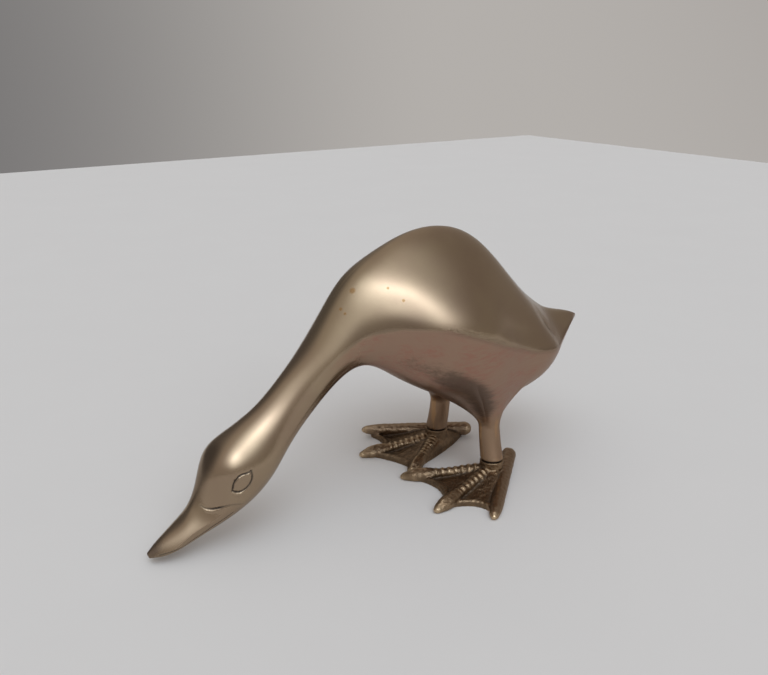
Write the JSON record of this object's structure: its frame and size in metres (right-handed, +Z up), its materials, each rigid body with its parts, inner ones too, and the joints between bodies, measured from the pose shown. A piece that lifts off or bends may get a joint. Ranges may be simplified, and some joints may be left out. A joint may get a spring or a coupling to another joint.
{
  "type": "duck figurine",
  "caption": "Hollow cast brass duck figurine with its head lowered to the ground, standing on webbed feet that are screwed to its legs.",
  "frame": {"origin": "on the floor under the middle of the bounding box, in the plane where the two body halves meet", "axes": "+Y from the bill to the tail, +X to the duck's left, +Z up"},
  "size_m": [0.0739, 0.16, 0.0839],
  "materials": {
    "body_brass": "aged satin, with a reddish brushed belly and dark patina round the leg roots",
    "foot_brass": "rough as cast, dark in the hollows and worn bright on the ribs and toe pads",
    "screw_brass": "machined, dulled"
  },
  "bodies": {
    "root": {"body_left_half": "body_brass", "body_right_half": "body_brass", "left_foot": "foot_brass", "right_foot": "foot_brass", "left_foot_screw": "screw_brass", "right_foot_screw": "screw_brass"}
  },
  "joints": []
}
